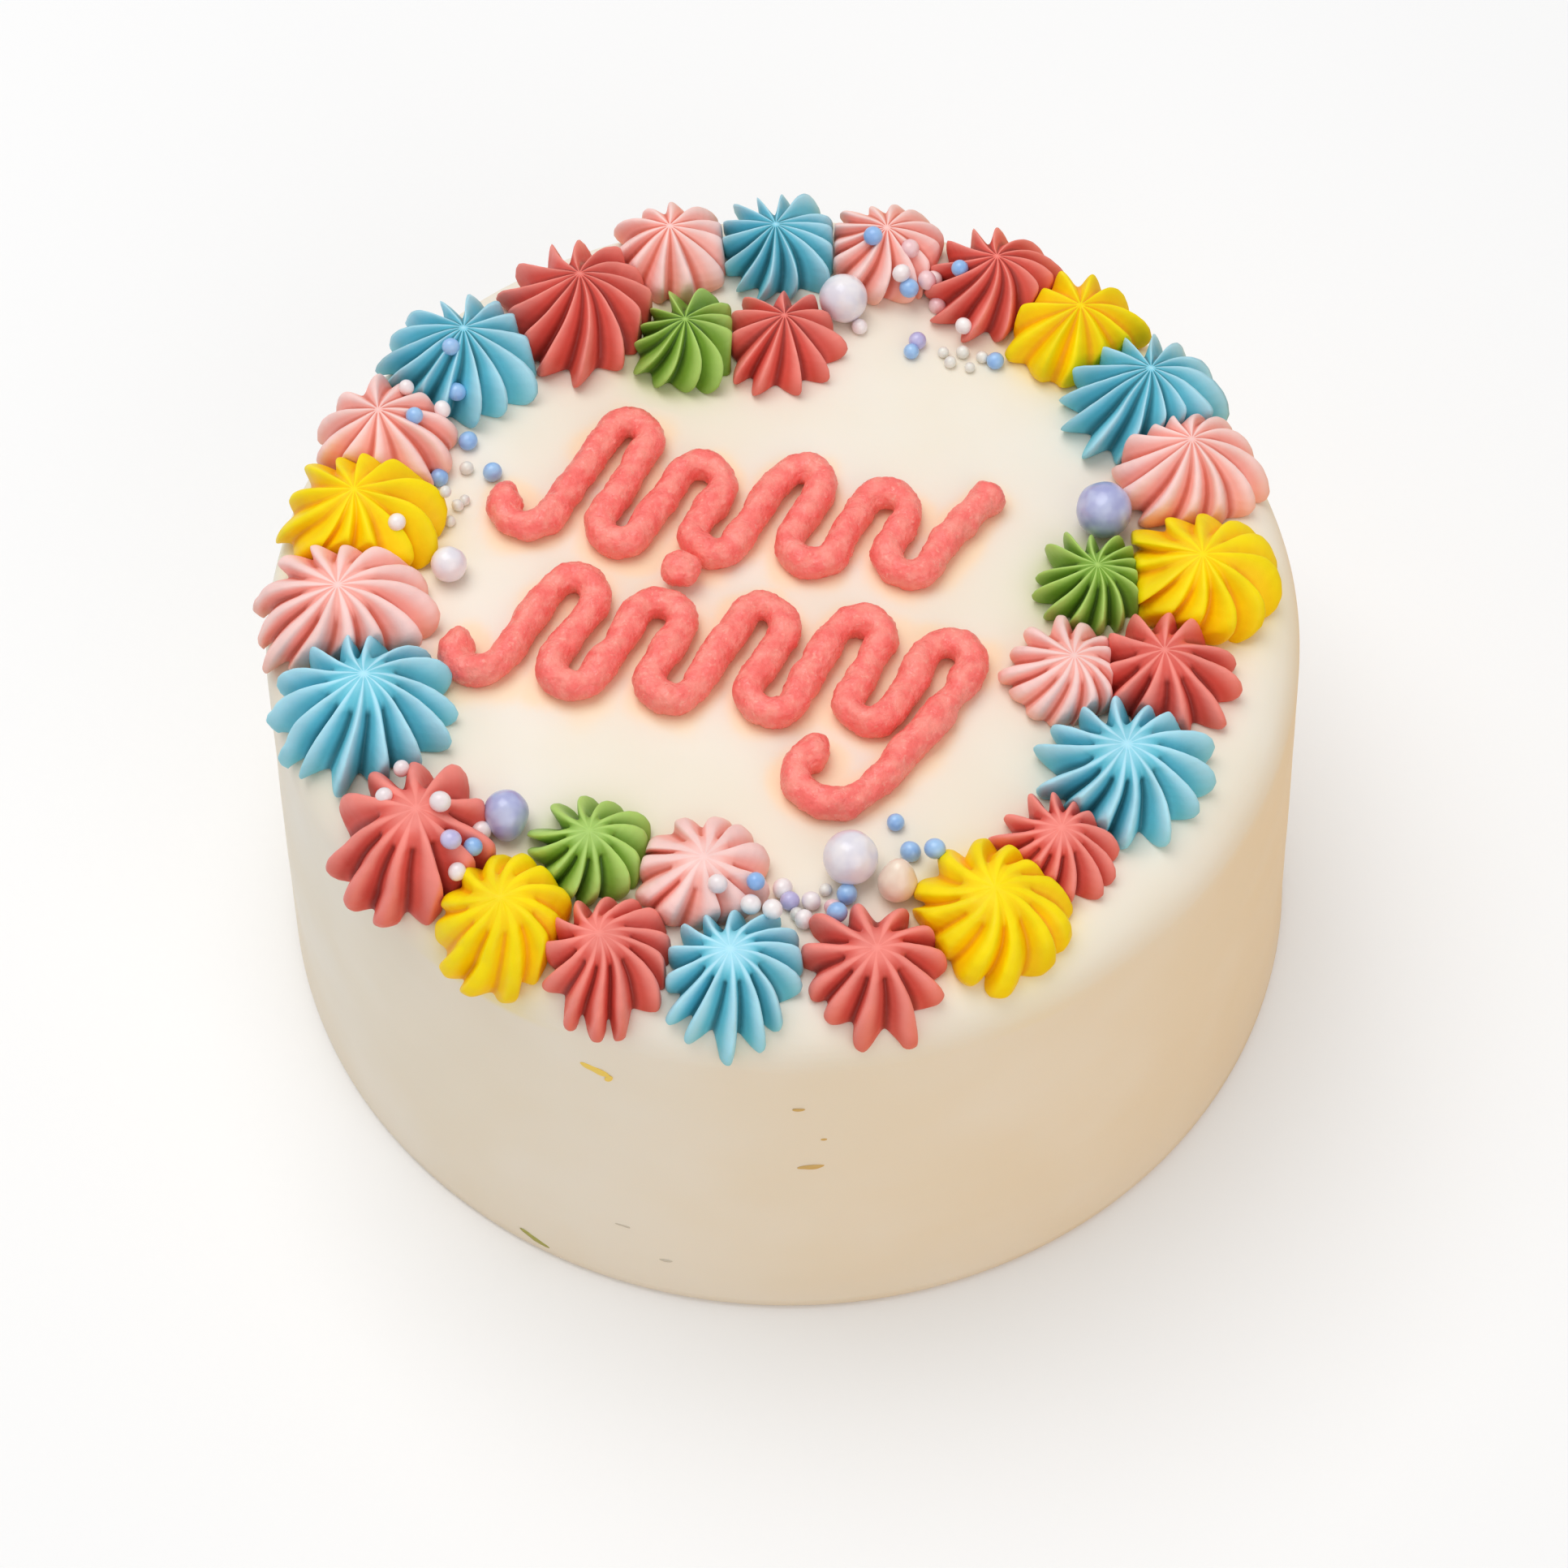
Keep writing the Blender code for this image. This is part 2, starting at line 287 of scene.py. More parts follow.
def mixed(tree, share, first, second, blend="MIX"):
    """Two colours mixed. Each may be a socket or a plain colour, and the share a socket or a number."""
    node = tree.nodes.new("ShaderNodeMix")
    node.data_type = "RGBA"
    node.blend_type = blend
    for name, kind, value in (("Factor", "VALUE", share), ("A", "RGBA", first), ("B", "RGBA", second)):
        target = next(s for s in node.inputs if s.name == name and s.type == kind)
        if hasattr(value, "is_linked"):
            wire(tree, value, target)
        elif isinstance(value, (int, float)):
            target.default_value = value
        else:
            target.default_value = (*value[:3], 1.0)
    return next(s for s in node.outputs if s.type == "RGBA")


def math_node(tree, kind, first, second):
    """A sum on two values, each a socket or a number."""
    node = tree.nodes.new("ShaderNodeMath")
    node.operation = kind
    for socket, value in zip(node.inputs, (first, second)):
        if hasattr(value, "is_linked"):
            wire(tree, value, socket)
        else:
            socket.default_value = value
    return node.outputs["Value"]


def attribute(tree, name, output="Fac"):
    """A value or colour stored on the mesh."""
    node = tree.nodes.new("ShaderNodeAttribute")
    node.attribute_name = name
    return node.outputs[output]


def piped_icing_group():
    """Piped buttercream: a painted highlight along the crests, painted shade in the valleys, a warmer foot,
    soft mottling and a faint grain.
    """
    white = (1.0, 1.0, 1.0, 1.0)
    inputs = [(label, "NodeSocketColor", white) for label in ("Crest_highlight", "Flank", "Valley_shade", "Foot")]
    outputs = [("Color", "NodeSocketColor"), ("Roughness", "NodeSocketFloat"), ("Height", "NodeSocketFloat")]
    group, given, out = node_group("piped_icing", inputs, outputs)
    crest = attribute(group, "crest")
    rise = attribute(group, "rise")
    # Painted shade: the valley colour darkens each rib toward its valleys. Painted highlight: the crest
    # colour lightens it along the crest.
    colour = mixed(group, ramp(group, crest, -0.10, 0.30), given["Valley_shade"], given["Flank"])
    colour = mixed(group, ramp(group, crest, 0.35, 0.95), colour, given["Crest_highlight"])
    foot = math_node(group, "MULTIPLY", ramp(group, rise, 0.0, 0.55, 0.7, 0.0), ramp(group, crest, 0.1, 0.5))
    colour = mixed(group, foot, colour, given["Foot"])
    mottle = ramp(group, object_noise(group, 160.0), 0.3, 0.7, 0.93, 1.04)
    shade = mixed(group, 1.0, colour, mottle_colour(group, mottle), "MULTIPLY")
    wire(group, shade, out["Color"])
    wire(group, ramp(group, object_noise(group, 300.0), 0.3, 0.7, 0.38, 0.56), out["Roughness"])
    grain = math_node(group, "MULTIPLY", object_noise(group, 2600.0), 0.35)
    wire(group, math_node(group, "ADD", object_noise(group, 700.0), grain), out["Height"])
    return group


def mottle_colour(tree, value):
    """A grey of a given value."""
    node = tree.nodes.new("ShaderNodeCombineColor")
    for socket in node.inputs:
        wire(tree, value, socket)
    return node.outputs["Color"]


def new_material(name):
    """A Principled material and its parts."""
    made = bpy.data.materials.new(name)
    made.use_nodes = True
    return made, made.node_tree, made.node_tree.nodes["Principled BSDF"]


def bump(tree, shader, height, strength, distance):
    """Relief from a height."""
    node = tree.nodes.new("ShaderNodeBump")
    node.inputs["Strength"].default_value = strength
    node.inputs["Distance"].default_value = distance
    wire(tree, height, node.inputs["Height"])
    wire(tree, node.outputs["Normal"], shader.inputs["Normal"])


def set_subsurface(shader, weight, scale, radius):
    """A little light under the surface."""
    shader.inputs["Subsurface Weight"].default_value = weight
    shader.inputs["Subsurface Scale"].default_value = scale
    shader.inputs["Subsurface Radius"].default_value = radius


def icing_material(slot, group):
    """Piped buttercream in one colour."""
    made, tree, shader = new_material(slot)
    node = tree.nodes.new("ShaderNodeGroup")
    node.node_tree = group
    # The crest colour is a painted highlight and the valley colour is painted shade.
    for label, colour in zip(("Crest_highlight", "Flank", "Valley_shade", "Foot"), ICING[slot]):
        node.inputs[label].default_value = (*colour, 1.0)
    wire(tree, node.outputs["Color"], shader.inputs["Base Color"])
    wire(tree, node.outputs["Roughness"], shader.inputs["Roughness"])
    shader.inputs["Specular IOR Level"].default_value = 0.2 if slot == "yellow_icing" else 0.35
    set_subsurface(shader, 0.12, 2.0 * MM, (1.0, 0.6, 0.45))
    bump(tree, shader, node.outputs["Height"], 0.25, 0.25 * MM)
    return made


def cream_material():
    """Smooth cream icing: stains beside the piping, faint scraper marks around the wall."""
    made, tree, shader = new_material("cream_icing")
    patches = ramp(tree, object_noise(tree, 28.0), 0.35, 0.65)
    colour = mixed(tree, patches, CREAM, linear(241, 231, 212))
    colour = mixed(tree, attribute(tree, "tint", "Alpha"), colour, attribute(tree, "tint", "Color"))
    wire(tree, colour, shader.inputs["Base Color"])
    wire(tree, ramp(tree, object_noise(tree, 60.0), 0.3, 0.7, 0.36, 0.52), shader.inputs["Roughness"])
    set_subsurface(shader, 0.12, 2.5 * MM, (1.0, 0.8, 0.6))
    marks = object_noise(tree, 6.0, 3.0, (1.0, 1.0, 30.0))
    fine = math_node(tree, "MULTIPLY", object_noise(tree, 260.0, 3.0), 0.25)
    bump(tree, shader, math_node(tree, "ADD", marks, fine), 0.35, 0.6 * MM)
    return made


def coral_material():
    """Grainy piped icing, a little wet."""
    made, tree, shader = new_material("coral_icing")
    blotch = ramp(tree, object_noise(tree, 420.0, 3.0), 0.35, 0.68)
    colour = mixed(tree, blotch, linear(252, 112, 104), CORAL)
    fleck = ramp(tree, object_noise(tree, 1500.0, 1.0), 0.62, 0.76)
    colour = mixed(tree, math_node(tree, "MULTIPLY", fleck, 0.45), colour, linear(255, 176, 156))
    wire(tree, colour, shader.inputs["Base Color"])
    wire(tree, ramp(tree, object_noise(tree, 800.0), 0.3, 0.7, 0.24, 0.5), shader.inputs["Roughness"])
    set_subsurface(shader, 0.15, 2.0 * MM, (1.0, 0.45, 0.35))
    grain = object_noise(tree, 1300.0, 3.0)
    bump(tree, shader, grain, 0.55, 0.5 * MM)
    return made


def pearl_material(name, colour, shade):
    """A sugar pearl: a polished coat over a soft, uneven colour."""
    made, tree, shader = new_material(name)
    patches = ramp(tree, object_noise(tree, 260.0), 0.35, 0.65)
    wire(tree, mixed(tree, patches, colour, shade), shader.inputs["Base Color"])
    shader.inputs["Roughness"].default_value = 0.32
    shader.inputs["Coat Weight"].default_value = 0.5
    shader.inputs["Coat Roughness"].default_value = 0.12
    set_subsurface(shader, 0.15, 2.0 * MM, (1.0, 0.9, 0.9))
    bump(tree, shader, object_noise(tree, 900.0), 0.12, 0.2 * MM)
    return made


# ---------------------------------------------------------------- rosettes

def packed_rosettes():
    """Every packed rosette: node, slot, middle and radius. The peak is over the middle."""
    slots = {part["node"]: part["material_slot"] for part in frame["record"]["subparts"]}
    found = []
    for name in sorted(n for n in frame["nodes"] if n.startswith("rosette_")):
        places = vertices_of(frame["nodes"][name])
        peak = places[places[:, 2].argmax()]
        radius = 0.5 * (peak[2] - TOP - PEAK_GAP) / PEAK_SHARE
        found.append((name, slots[name], peak[0], peak[1], radius))
    return found


def packed_pearls():
    """Every packed pearl: node, slot, middle and radius."""
    slots = {part["node"]: part["material_slot"] for part in frame["record"]["subparts"]}
    found = []
    for name in sorted(n for n in frame["nodes"] if n.startswith("pearl_")):
        low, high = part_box(name)
        middle = [(a + b) * 0.5 for a, b in zip(low, high)]
        found.append((name, slots[name], middle[0], middle[1], 0.5 * (high[2] - low[2])))
    return found


def rosette_blank(ribs):
    """A closed drum of even rings, one unit in radius and one high, that every rosette starts from."""
    count = ribs * POINTS_PER_RIB
    bpy.ops.object.select_all(action="DESELECT")
    bpy.ops.mesh.primitive_circle_add(vertices=count, radius=1.0, fill_type="NOTHING")
    blank = added(f"rosette_blank_{ribs}")
    bpy.ops.object.mode_set(mode="EDIT")
    bpy.ops.mesh.select_all(action="SELECT")
    rise = 1.0 / BLANK_RINGS
    for _ in range(BLANK_RINGS):
        bpy.ops.mesh.extrude_region_move(TRANSFORM_OT_translate={"value": (0.0, 0.0, rise)})
    bpy.ops.mesh.merge(type="CENTER")
    bpy.ops.object.mode_set(mode="OBJECT")
    for vertex in blank.data.vertices:
        vertex.select = abs(vertex.co.z) < 1e-4
    bpy.ops.object.mode_set(mode="EDIT")
    for share in (0.7, 0.5):
        bpy.ops.mesh.extrude_region_move()
        bpy.ops.transform.resize(value=(share, share, share))
    bpy.ops.mesh.merge(type="CENTER")
    bpy.ops.mesh.select_all(action="SELECT")
    bpy.ops.mesh.normals_make_consistent(inside=False)
    bpy.ops.object.mode_set(mode="OBJECT")
    return blank


# Up the side of a rosette: how far the ribs reach out and how high, from the foot to the peak.
RISE_AT = (0.0, 0.05, 0.12, 0.22, 0.34, 0.46, 0.58, 0.70, 0.80, 0.88, 0.95, 1.0)
REACH_AT = (0.88, 0.96, 1.01, 1.035, 1.00, 0.92, 0.80, 0.64, 0.475, 0.32, 0.15, 0.0)
HEIGHT_AT = (0.0, 0.05, 0.13, 0.25, 0.41, 0.56, 0.69, 0.80, 0.88, 0.935, 0.98, 1.0)


def soft_least(first, second, blend):
    """The lesser of two values, rounded off where they meet."""
    share = np.clip(0.5 + 0.5 * (second - first) / blend, 0.0, 1.0)
    return second * (1.0 - share) + first * share - blend * share * (1.0 - share)


def walls_around(index, rosettes, pearls):
    """The upright planes where one rosette meets its neighbours, as directions and distances."""
    _, _, x, y, radius = rosettes[index]
    walls = []
    for other, (_, _, other_x, other_y, other_radius) in enumerate(rosettes):
        apart = hypot(other_x - x, other_y - y)
        if other == index or apart > (radius + other_radius) * 1.1:
            continue
        distance = (apart**2 + radius**2 - other_radius**2) / (2.0 * apart)
        walls.append((atan2(other_y - y, other_x - x), distance))
    for _, _, other_x, other_y, other_radius in pearls:
        apart = hypot(other_x - x, other_y - y)
        if apart < (radius + other_radius) * 1.2:
            walls.append((atan2(other_y - y, other_x - x), apart - 0.9 * other_radius))
    return walls


def shape_rosette(piece, index, rosettes, pearls, ribs):
    """Turn a blank into one piped rosette with its own ribs, twist, lean and pressed sides."""
    _, slot, x, y, radius = rosettes[index]
    depth, roundness, blur = CHARACTER[slot]
    dice = np.random.default_rng(100 + index)
    size = dice.uniform(0.89, 1.04, ribs)
    stray = dice.uniform(-0.24, 0.24, ribs) * tau / ribs
    lift = dice.uniform(-0.09, 0.07, ribs)
    twist = radians(8.0 + 7.0 * (index % 4))
    blade = dice.uniform(-0.15, 0.30) * tau / ribs
    places = vertices_of(piece)
    share_out = np.minimum(np.hypot(places[:, 0], places[:, 1]), 1.0)
    rise = np.clip(places[:, 2], 0.0, 1.0)
    turn = np.arctan2(places[:, 1], places[:, 0]) % tau
    at_peak = rise > 1.0 - 1e-4
    # The front rosettes have a smooth dome and round fingers; those behind run up to a pinched peak.
    toward_front = min(max((35.0 * MM - y) / (80.0 * MM), 0.0), 1.0)
    rib_place = turn / (tau / ribs)
    rib = np.floor(rib_place + 1e-6).astype(int) % ribs
    phase = 2.0 * (rib_place - np.floor(rib_place + 1e-6)) - 1.0
    away = np.sqrt(phase**2 + blur**2) - blur
    away = np.clip(away / (sqrt(1.0 + blur**2) - blur), 0.0, 1.0)
    power = roundness * (1.0 + 0.7 * (1.0 - rise) ** 2) * (0.9 + 0.75 * toward_front)
    crest = 1.0 - np.sin(0.5 * pi * away) ** power
    reach_out = np.interp(rise, RISE_AT, REACH_AT) * radius * SPREAD
    dome = np.clip((rise - 0.74) / 0.2, 0.0, 1.0) * toward_front
    deep = depth * (0.58 + 0.48 * np.sin(pi * rise)) * (1.0 - dome)
    reach = reach_out * (1.0 - deep + crest * (deep + (size[rib] - 1.0) * (1.0 - dome)))
    direction = turn + radians(index * 37.0) + stray[rib] * crest * (1.0 - 0.4 * rise)
    direction = direction + twist * rise + blade * crest * np.sin(pi * rise)
    reach = reach * share_out
    for wall_direction, wall_distance in walls_around(index, rosettes, pearls):
        towards = np.cos(direction - wall_direction)
        limit = np.where(towards > 0.15, wall_distance / np.maximum(towards, 0.15), 1.0)
        reach = np.where(towards > 0.15, soft_least(reach, limit, 1.2 * MM), reach)
    reach = np.where(at_peak, 0.0, np.maximum(reach, 0.0))
    px = x + reach * np.cos(direction)
    py = y + reach * np.sin(direction)
    furrow = 0.13 * (1.0 - crest) * np.sin(pi * rise**1.5) * (1.0 - dome)
    height = np.interp(rise, RISE_AT, HEIGHT_AT) + lift[rib] * crest * np.sin(pi * rise) - furrow
    height = height * 2.0 * radius * (0.43 - 0.03 * toward_front)
    ground = icing_height(px, py)
    fall = (TOP - ground) * DROOP * (1.0 - rise) ** 0.8
    pz = TOP - 0.15 * MM - fall + height
    lean = dice.uniform(-1.0, 1.0, 2) * 0.10 * radius
    px = px + lean[0] * rise**2
    py = py + lean[1] * rise**2
    shaped = np.column_stack((px, py, pz))
    place_vertices(piece, unevenness(shaped, 0.30 * MM, 150.0, index))
    # This crest value also places the painted highlight and painted shade in the icing colour; peaks and
    # domes take the highlight.
    keep_values(piece, "crest", np.where(at_peak, 1.0, np.maximum(crest, 0.75 * dome)))
    keep_values(piece, "rise", rise)


def unevenness(places, amount, scale, seed):
    """Places moved a little by smooth noise."""
    offset = Vector((seed * 3.7, seed * 1.3, seed * 2.1))
    moved = [noise.noise_vector(Vector(place) * scale + offset) for place in places]
    return places + np.array([tuple(m) for m in moved]) * amount


def make_rosettes(group):
    """Every rosette, each from the blank with its number of ribs."""
    rosettes = packed_rosettes()
    pearls = packed_pearls()
    blanks = {ribs: rosette_blank(ribs) for ribs in (11, 12, 13, 14)}
    materials = {slot: icing_material(slot, group) for slot in ICING}
    pieces = []
    for index, (node, slot, _, _, _) in enumerate(rosettes):
        ribs = 11 + (index * 7) % 4
        mesh = blanks[ribs].data.copy()
        piece = bpy.data.objects.new("piped_" + node, mesh)
        bpy.context.scene.collection.objects.link(piece)
        shape_rosette(piece, index, rosettes, pearls, ribs)
        smooth(piece)
        finish_piece(piece, materials[slot], slot, node)
        pieces.append(piece)
    for blank in blanks.values():
        bpy.data.objects.remove(blank, do_unlink=True)
    return pieces


# ---------------------------------------------------------------- flourish

def curl(start, heading, radius, tight, turn, steps):
    """Points of a spiral curl that leaves a point along a heading and tightens as it turns."""
    points = []
    x, y = start
    for step in range(steps):
        share = (step + 0.5) / steps
        bend = turn / steps
        heading += bend
        length = (radius + (tight - radius) * share) * abs(bend)
        x += length * cos(heading - 0.5 * bend)
        y += length * sin(heading - 0.5 * bend)
        points.append((x, y))
    return points


def wave(foot, strokes, stroke_length):
    """Leaning strokes joined by round turns, from the foot of the first, along a sloping row."""
    along = Vector((sin(STROKE_LEAN), cos(STROKE_LEAN)))
    across = Vector((cos(STROKE_LEAN), -sin(STROKE_LEAN)))
    rise = STROKE_SPACING * sin(STROKE_LEAN + ROW_SLOPE) / cos(STROKE_LEAN + ROW_SLOPE)
    radius = 0.5 * STROKE_SPACING
    origin = Vector(foot)
    points = [origin.copy()]
    for stroke in range(strokes - 1):
        upward = stroke % 2 == 0
        middle = origin + across * STROKE_SPACING * (stroke + 0.5)
        level = rise * (stroke + 0.5)
        if upward:
            level += stroke_length((stroke + 0.5) / (strokes - 1))
        middle = middle + along * level
        side = 1.0 if upward else -1.0
        for step in range(ARC_STEPS + 1):
            turn = pi * step / ARC_STEPS
            points.append(middle - across * radius * cos(turn) + along * side * radius * sin(turn))
    return [tuple(point) for point in points]


def upper_row():
    """The upper row: a curl at the left foot, a tall first stroke and a rising last one."""
    def stroke_length(share):
        return (10.0 + 8.5 * exp(-share * 6.0) + 1.8 * sin(13.0 * share)) * MM

    swing = wave(UPPER_FOOT, UPPER_STROKES, stroke_length)
    start = curl(swing[0], -0.5 * pi - STROKE_LEAN, *START_CURL)
    end = curl(swing[-1], 0.5 * pi - STROKE_LEAN, *RISING_END)
    return list(reversed(start)) + swing + end


def lower_row():
    """The lower row: a curl at the left foot, a swell in the middle and a long tail that curls under."""
    def stroke_length(share):
        swell = exp(-((share - 0.62) / 0.14) ** 2)
        return (9.5 + 6.0 * exp(-share * 6.0) + 4.5 * swell) * MM

    swing = wave(LOWER_FOOT, LOWER_STROKES, stroke_length)
    start = curl(swing[0], -0.5 * pi - STROKE_LEAN, *START_CURL)
    tail = curl(swing[-1], -0.5 * pi - STROKE_LEAN, *TAIL)
    hook = curl(tail[-1], -0.5 * pi - STROKE_LEAN + TAIL_TURN, *HOOK)
    return list(reversed(start)) + swing + tail + hook


def evenly(route, step):
    """The same route with a point at every step along it."""
    route = np.array(route)
    lengths = np.hypot(*np.diff(route, axis=0).T)
    along = np.concatenate(([0.0], np.cumsum(lengths)))
    marks = np.arange(0.0, along[-1], step)
    return np.column_stack([np.interp(marks, along, route[:, axis]) for axis in (0, 1)])


def add_tube(data, route, width, seed):
    """One tube of piping along a route, that swells and thins and sways a little."""
    points = evenly(route, ROUTE_STEP)
    spline = data.splines.new("POLY")
    spline.points.add(len(points) - 1)
    for i, (point, (x, y)) in enumerate(zip(spline.points, points)):
        swell = noise.noise(Vector((i * 0.16, seed, 0.0)))
        sway = noise.noise_vector(Vector((i * 0.11, seed, 9.0))) * 0.55 * MM
        from_end = min(i, len(points) - 1 - i) * 0.8
        blob = 0.16 * exp(-((from_end - 2.0) / 2.0) ** 2)
        rounding = sqrt(max(1.0 - max(1.0 - (from_end + 0.3) / 2.0, 0.0) ** 2, 0.0))
        point.co = (x + sway.x, y + sway.y, TOP + width * 0.85, 1.0)
        point.radius = width * (1.08 + 0.22 * swell + blob) * rounding


def make_flourish(name, route, material, node, seed):
    """One row of piping: strokes fused where they touch, with a grainy skin."""
    data = bpy.data.curves.new(name, "CURVE")
    data.dimensions = "3D"
    data.bevel_depth = 1.0
    data.bevel_resolution = 6
    data.use_fill_caps = True
    add_tube(data, route, 1.05 * PIPE_RADIUS, seed)
    piece = bpy.data.objects.new(name, data)
    bpy.context.scene.collection.objects.link(piece)
    only(piece)
    bpy.ops.object.convert(target="MESH")
    piece = bpy.context.active_object
    remesh = piece.modifiers.new("fuse", "REMESH")
    remesh.mode = "VOXEL"
    remesh.voxel_size = 0.42 * MM
    bpy.ops.object.modifier_apply(modifier="fuse")
    soften = piece.modifiers.new("soften", "SMOOTH")
    soften.factor = 0.5
    soften.iterations = 3
    bpy.ops.object.modifier_apply(modifier="soften")
    grain_surface(piece, seed)
    smooth(piece)
    return finish_piece(piece, material, "coral_icing", node)


def grain_surface(piece, seed):
    """Press the underside flat on the cream and roughen the skin."""
    places = vertices_of(piece)
    normals = np.empty(len(places) * 3)
    piece.data.vertices.foreach_get("normal", normals)
    normals = normals.reshape(-1, 3)
    offset = Vector((seed, 0.0, 0.0))
    lumps = np.array([noise.noise(Vector(p) * 420.0 + offset) for p in places])
    grains = np.array([noise.noise(Vector(p) * 1500.0 + offset) for p in places])
    places = places + normals * ((lumps * 0.34 + grains * 0.16) * MM)[:, None]
    places[:, 2] = np.maximum(places[:, 2], TOP - 0.15 * MM)
    place_vertices(piece, places)


def make_dot(material):
    """The round dot of piping between the rows."""
    low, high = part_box("flourish_dot")
    middle = [(a + b) * 0.5 for a, b in zip(low, high)]
    radius = 0.5 * (high[2] - low[2])
    bpy.ops.object.select_all(action="DESELECT")
    bpy.ops.mesh.primitive_ico_sphere_add(subdivisions=5, radius=radius, location=middle)
    piece = added("piped_dot")
    bpy.ops.object.transform_apply(location=True, rotation=True, scale=True)
    bpy.ops.object.mode_set(mode="EDIT")
    bpy.ops.mesh.select_all(action="SELECT")
    bpy.ops.transform.resize(value=(1.0, 0.95, 0.82), center_override=(middle[0], middle[1], TOP))
    bpy.ops.object.mode_set(mode="OBJECT")
    grain_surface(piece, 9.0)
    smooth(piece)
    return finish_piece(piece, material, "coral_icing", "flourish_dot")


# ---------------------------------------------------------------- body

def body_rings():
    """Radius and height of every ring of the body, from the foot to the middle of the top."""
    rings = [(BASE_RADIUS - FOOT_ROUND, 0.0), (BASE_RADIUS - 0.35 * MM, 0.25 * MM), (BASE_RADIUS, FOOT_ROUND)]
    wall_top = TOP - SHOULDER
    for step in range(1, WALL_RINGS + 1):
        share = step / WALL_RINGS
        radius = BASE_RADIUS + (TOP_RADIUS - BASE_RADIUS) * share
        rings.append((radius, FOOT_ROUND + (wall_top - FOOT_ROUND) * share))
    for step in range(1, SHOULDER_RINGS + 1):
        turn = 0.5 * pi * step / SHOULDER_RINGS
        rings.append((TOP_RADIUS - SHOULDER + SHOULDER * cos(turn), wall_top + SHOULDER * sin(turn)))
    flat = TOP_RADIUS - SHOULDER
    rings += [(flat * (1.0 - step / TOP_RINGS), TOP) for step in range(1, TOP_RINGS)]
    return rings


def make_body(material, routes):
    """The iced cake: turned, leaning a little, with soft unevenness and stains beside the piping."""
    rings = body_rings()
    bpy.ops.object.select_all(action="DESELECT")
    bpy.ops.mesh.primitive_circle_add(vertices=BODY_SEGMENTS, radius=rings[0][0], fill_type="TRIFAN")
    piece = added("iced_cake")
    bpy.ops.object.mode_set(mode="EDIT")
    bpy.ops.mesh.select_all(action="DESELECT")
    bpy.ops.object.mode_set(mode="OBJECT")
    for vertex in piece.data.vertices:
        vertex.select = hypot(vertex.co.x, vertex.co.y) > 0.5 * rings[0][0]
    bpy.ops.object.mode_set(mode="EDIT")
    bpy.ops.mesh.select_mode(type="EDGE")
    bpy.ops.mesh.select_all(action="SELECT")
    bpy.ops.mesh.region_to_loop()
    for (radius, height), (next_radius, next_height) in zip(rings, rings[1:]):
        lift = {"value": (0.0, 0.0, next_height - height)}
        bpy.ops.mesh.extrude_edges_move(TRANSFORM_OT_translate=lift)
        scale = next_radius / radius
        bpy.ops.transform.resize(value=(scale, scale, 1.0), center_override=(0.0, 0.0, next_height))
    bpy.ops.mesh.merge(type="CENTER")
    bpy.ops.mesh.select_all(action="SELECT")
    bpy.ops.mesh.normals_make_consistent(inside=False)
    bpy.ops.mesh.select_mode(type="VERT")
    bpy.ops.object.mode_set(mode="OBJECT")
    places = vertices_of(piece)
    places[:, 0] += TOP_SHIFT * places[:, 2] / TOP
    place_vertices(piece, uneven_icing(places))
    keep_colours(piece, "tint", stains(vertices_of(piece), routes))
    smooth(piece)
    return finish_piece(piece, material, "cream_icing", "cake_body")


def uneven_icing(places):
    """The wall and the top as a scraper leaves them: long soft waves, a slightly wavy shoulder."""
    moved = places.copy()
    for i, (x, y, z) in enumerate(places):
        out = hypot(x, y)
        if z < 1e-5 or out < 1e-6:
            continue
        turn = atan2(y, x)
        wall = noise.noise(Vector((cos(turn) * 1.6, sin(turn) * 1.6, z * 22.0)))
        band = noise.noise(Vector((cos(turn) * 5.0, sin(turn) * 5.0, z * 90.0 + 7.0)))
        push = (0.55 * wall + 0.16 * band) * MM * min(z / (6.0 * MM), 1.0)
        push = push if z < TOP - 1e-5 else push * min(out / BASE_RADIUS, 1.0) * 0.3
        push = push * 0.6
        moved[i, 0] += push * x / out
        moved[i, 1] += push * y / out
        if z > TOP - SHOULDER:
            ripple = noise.noise(Vector((x * 26.0, y * 26.0, 3.0)))
            fine = noise.noise(Vector((x * 90.0, y * 90.0, 5.0)))
            moved[i, 2] += (0.22 * ripple + 0.05 * fine) * MM
    return moved


def stains(places, routes):
    """Colour and share of the stains: orange beside the flourish, soft halos beside bright rosettes."""
    points = np.concatenate([evenly(route, 1.0 * MM) for route in routes])
    tree = KDTree(len(points))
    for i, (x, y) in enumerate(points):
        tree.insert((x, y, 0.0), i)
    tree.balance()
    peach = linear(254, 226, 184)
    rosettes = packed_rosettes()
    halo = {"green_icing": linear(206, 214, 140), "yellow_icing": linear(246, 226, 130)}
    tints = np.zeros((len(places), 4))
    tints[:, :3] = CREAM
    for i, (x, y, z) in enumerate(places):
        if z < TOP - SHOULDER:
            continue
        distance = tree.find((x, y, 0.0))[2]
        wobble = 1.0 + 0.8 * noise.noise(Vector((x * 130.0, y * 130.0, 1.0)))
        past = (distance - 4.0 * MM * wobble) / (1.6 * MM)
        share = 0.8 / (1.0 + exp(min(3.0 * past, 30.0)))
        colour = peach
        for _, slot, rx, ry, radius in rosettes:
            if slot not in halo:
                continue
            gap = hypot(x - rx, y - ry) - radius
            near = 0.5 * exp(-max(gap, 0.0) / (1.8 * MM)) if gap < 8.0 * MM else 0.0
            if near > share:
                share = near
                colour = halo[slot]
        tints[i] = (*colour, share)
    return tints


# ---------------------------------------------------------------- pearls

